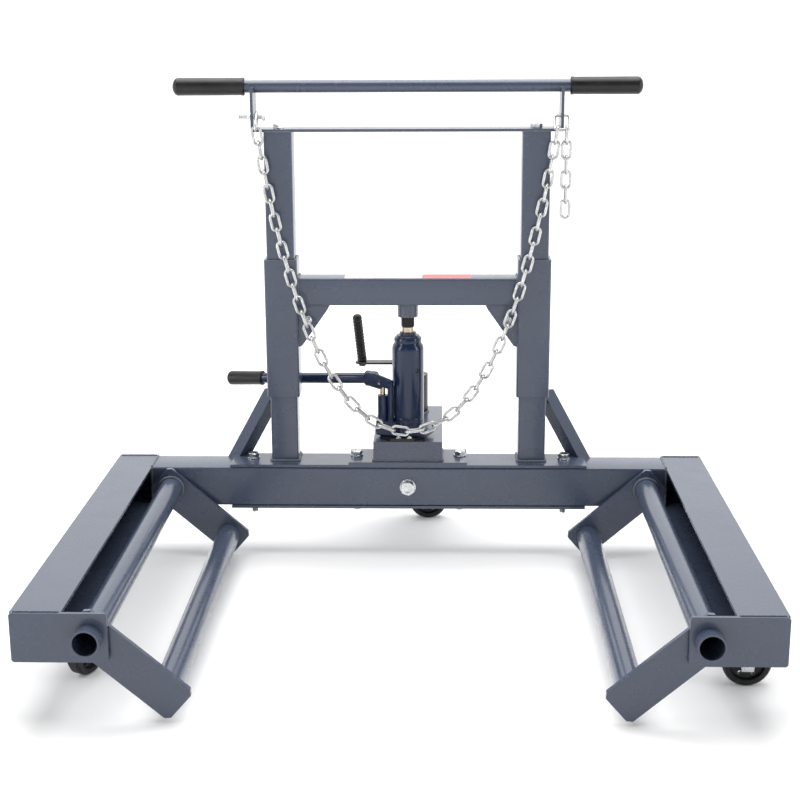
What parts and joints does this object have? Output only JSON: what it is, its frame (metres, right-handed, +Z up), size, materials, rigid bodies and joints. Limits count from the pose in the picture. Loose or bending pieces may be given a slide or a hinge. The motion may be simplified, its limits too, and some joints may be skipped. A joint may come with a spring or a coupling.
{
  "type": "wheel dolly",
  "caption": "U-shaped hydraulic dolly for paired truck tyres, with swing-up roller frames, a jack-raised carriage on a handled mast, a retaining chain and swivel casters.",
  "frame": {"origin": "on the floor, midway across and midway along the whole object", "axes": "+X across the width to the right of someone facing the open ends, +Y from the open arm ends towards the mast and tongue, +Z up"},
  "size_m": [1.1154, 0.987, 0.881],
  "materials": {
    "frame_paint": "satin slate-blue powder coat",
    "jack_paint": "gloss navy enamel",
    "black_paint": "satin black enamel",
    "zinc_plate": "bright zinc plate",
    "galvanised": "galvanised, dull silver",
    "bright_steel": "polished ground steel",
    "grip_vinyl": "dipped soft vinyl",
    "wheel_black": "matt black moulded rubber"
  },
  "bodies": {
    "base": {"crossbeam": "frame_paint", "side_channel_left": "frame_paint", "side_channel_right": "frame_paint", "front_plate_left": "frame_paint", "front_plate_right": "frame_paint", "rear_plates": "frame_paint", "mast_plate": "frame_paint", "bottom_plate": "frame_paint", "post_left": "frame_paint", "post_right": "frame_paint", "brace_left": "frame_paint", "brace_right": "frame_paint", "handle_bracket": "frame_paint", "handlebar": "frame_paint", "grip_left": "grip_vinyl", "grip_right": "grip_vinyl", "tongue": "frame_paint", "tongue_plate": "frame_paint", "base_bolts": "zinc_plate", "base_nuts": "zinc_plate", "post_bolts": "zinc_plate", "centre_bolt": "zinc_plate", "jack_foot": "black_paint", "jack_base": "jack_paint", "jack_cylinder": "jack_paint", "jack_cap": "jack_paint", "oil_plug": "black_paint", "pump_cylinder": "jack_paint", "jack_bolts": "zinc_plate", "jockey_column": "black_paint", "caster_mounts": "zinc_plate", "chain_bolt": "zinc_plate"},
    "carriage": {"sleeve_left": "frame_paint", "sleeve_right": "frame_paint", "lift_crossbar": "frame_paint", "gussets": "frame_paint", "gusset_bolts": "zinc_plate", "ram_socket": "frame_paint"},
    "ram": {"ram": "bright_steel", "extension_screw": "black_paint"},
    "pump_lever": {"pump_lever": "jack_paint", "pump_handle": "jack_paint", "handle_grip": "grip_vinyl"},
    "pump_plunger": {"pump_plunger": "bright_steel"},
    "jockey_tube": {"jockey_tube": "zinc_plate"},
    "crank": {"crank_arm": "black_paint"},
    "crank_grip": {"crank_grip": "grip_vinyl"},
    "jockey_fork": {"jockey_fork": "zinc_plate"},
    "jockey_wheel": {"jockey_wheel": "wheel_black"},
    "fork_left": {"fork_left": "zinc_plate"},
    "fork_right": {"fork_right": "zinc_plate"},
    "wheel_left": {"wheel_left": "wheel_black"},
    "wheel_right": {"wheel_right": "wheel_black"},
    "swing_frame_left": {"swing_frame_left": "frame_paint"},
    "swing_frame_right": {"swing_frame_right": "frame_paint"},
    "roller_left": {"roller_left": "frame_paint"},
    "roller_right": {"roller_right": "frame_paint"},
    "chain_loop": {"chain_loop": "galvanised", "quick_link": "galvanised"},
    "chain_tail": {"chain_tail": "galvanised"}
  },
  "joints": [
    {"name": "carriage_lift", "type": "slide", "parent": "base", "child": "carriage", "axis": [0, 0, 1], "range_m": [0, 0.115]},
    {"name": "ram_slide", "type": "slide", "parent": "base", "child": "ram", "axis": [0, 0, 1], "range_m": [0, 0.115]},
    {"name": "pump_hinge", "type": "hinge", "parent": "base", "child": "pump_lever", "pos_m": [-0.03783, 0.26089, 0.328], "axis": [0.3584, 0.9336, 0], "range_deg": [0, 30]},
    {"name": "plunger_slide", "type": "slide", "parent": "base", "child": "pump_plunger", "axis": [0, 0, 1], "range_m": [0, 0.0084]},
    {"name": "crank_turn", "type": "hinge", "parent": "base", "child": "crank", "pos_m": [0.00425, 0.4535, 0.31], "axis": [0, 0, 1], "range_deg": [0, 3600]},
    {"name": "jockey_slide", "type": "slide", "parent": "base", "child": "jockey_tube", "axis": [0, 0, 1], "range_m": [0, 0.05]},
    {"name": "crank_grip_spin", "type": "hinge", "parent": "crank", "child": "crank_grip", "pos_m": [-0.10393, 0.4535, 0.36178], "axis": [-0.1045, 0, 0.9945], "continuous": true},
    {"name": "jockey_swivel", "type": "hinge", "parent": "jockey_tube", "child": "jockey_fork", "pos_m": [0.00425, 0.4535, 0.085], "axis": [0, 0, 1], "continuous": true},
    {"name": "jockey_wheel_spin", "type": "hinge", "parent": "jockey_fork", "child": "jockey_wheel", "pos_m": [0.03025, 0.4535, 0.0375], "axis": [0, 1, 0], "continuous": true},
    {"name": "swivel_left", "type": "hinge", "parent": "base", "child": "fork_left", "pos_m": [-0.50575, -0.3165, 0.085], "axis": [0, 0, 1], "continuous": true},
    {"name": "swivel_right", "type": "hinge", "parent": "base", "child": "fork_right", "pos_m": [0.49425, -0.3165, 0.085], "axis": [0, 0, 1], "continuous": true},
    {"name": "wheel_left_spin", "type": "hinge", "parent": "fork_left", "child": "wheel_left", "pos_m": [-0.49476, -0.29294, 0.0375], "axis": [-0.9063, 0.4226, 0], "continuous": true},
    {"name": "wheel_right_spin", "type": "hinge", "parent": "fork_right", "child": "wheel_right", "pos_m": [0.52025, -0.3165, 0.0375], "axis": [0, 1, 0], "continuous": true},
    {"name": "swing_left", "type": "hinge", "parent": "base", "child": "swing_frame_left", "pos_m": [-0.44575, -0.1215, 0.1355], "axis": [0, -1, 0], "range_deg": [0, 135]},
    {"name": "swing_right", "type": "hinge", "parent": "base", "child": "swing_frame_right", "pos_m": [0.43425, -0.1215, 0.1355], "axis": [0, 1, 0], "range_deg": [0, 135]},
    {"name": "roller_left_spin", "type": "hinge", "parent": "swing_frame_left", "child": "roller_left", "pos_m": [-0.3416, -0.1215, 0.04496], "axis": [0, 1, 0], "continuous": true},
    {"name": "roller_right_spin", "type": "hinge", "parent": "swing_frame_right", "child": "roller_right", "pos_m": [0.3301, -0.1215, 0.04496], "axis": [0, 1, 0], "continuous": true},
    {"name": "chain_swing", "type": "hinge", "parent": "base", "child": "chain_loop", "pos_m": [-0.00575, 0.2605, 0.814], "axis": [-1, 0, 0], "range_deg": [0, 55]},
    {"name": "tail_swing", "type": "hinge", "parent": "chain_loop", "child": "chain_tail", "pos_m": [0.27585, 0.2411, 0.7912], "axis": [-1, 0, 0], "range_deg": [0, 50]}
  ],
  "couplings": [
    {"joint": "ram_slide", "follows": "carriage_lift", "ratio": 1},
    {"joint": "plunger_slide", "follows": "pump_hinge", "m_per_rad": 0.016},
    {"joint": "jockey_slide", "follows": "crank_turn", "m_per_rad": 0.00079577}
  ]
}
